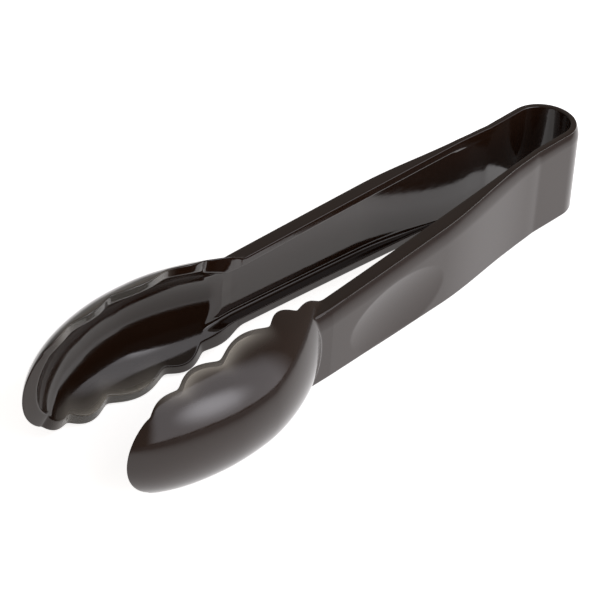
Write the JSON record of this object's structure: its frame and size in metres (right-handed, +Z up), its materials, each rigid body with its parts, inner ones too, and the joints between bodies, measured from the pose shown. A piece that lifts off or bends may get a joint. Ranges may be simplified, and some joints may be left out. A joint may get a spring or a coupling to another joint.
{
  "type": "spring tongs",
  "caption": "Small scalloped kitchen tongs: a U-bent flat spring carries two channel-shaped arms that end in scoop jaws with wavy gripping edges.",
  "frame": {"origin": "bottom centre of the whole object's box at rest, with the jaws sprung open", "axes": "+X from the bend towards the jaw tips, +Y towards the left arm, +Z up, square to the plane that the arms move in"},
  "size_m": [0.153, 0.0474, 0.0283],
  "materials": {
    "plastic": "glossy smoky black polycarbonate, brownish in the dark areas"
  },
  "bodies": {
    "spring": {"spring_bend": "plastic"},
    "left_arm": {"left_spring_leg": "plastic", "left_handle_web": "plastic", "left_upper_rail": "plastic", "left_lower_rail": "plastic", "left_scoop": "plastic", "left_upper_grip_edge": "plastic", "left_lower_grip_edge": "plastic"},
    "right_arm": {"right_spring_leg": "plastic", "right_handle_web": "plastic", "right_upper_rail": "plastic", "right_lower_rail": "plastic", "right_scoop": "plastic", "right_upper_grip_edge": "plastic", "right_lower_grip_edge": "plastic"}
  },
  "joints": [
    {"name": "left_squeeze", "type": "hinge", "parent": "spring", "child": "left_arm", "pos_m": [-0.06835, 0.00713, 0.01416], "axis": [0, 0, -1], "range_deg": [0, 5.5], "stiffness_Nm_per_rad": 4},
    {"name": "right_squeeze", "type": "hinge", "parent": "spring", "child": "right_arm", "pos_m": [-0.06835, -0.00713, 0.01416], "axis": [0, 0, 1], "range_deg": [0, 5.5], "stiffness_Nm_per_rad": 4}
  ],
  "couplings": [
    {"joint": "right_squeeze", "follows": "left_squeeze", "ratio": 1}
  ]
}
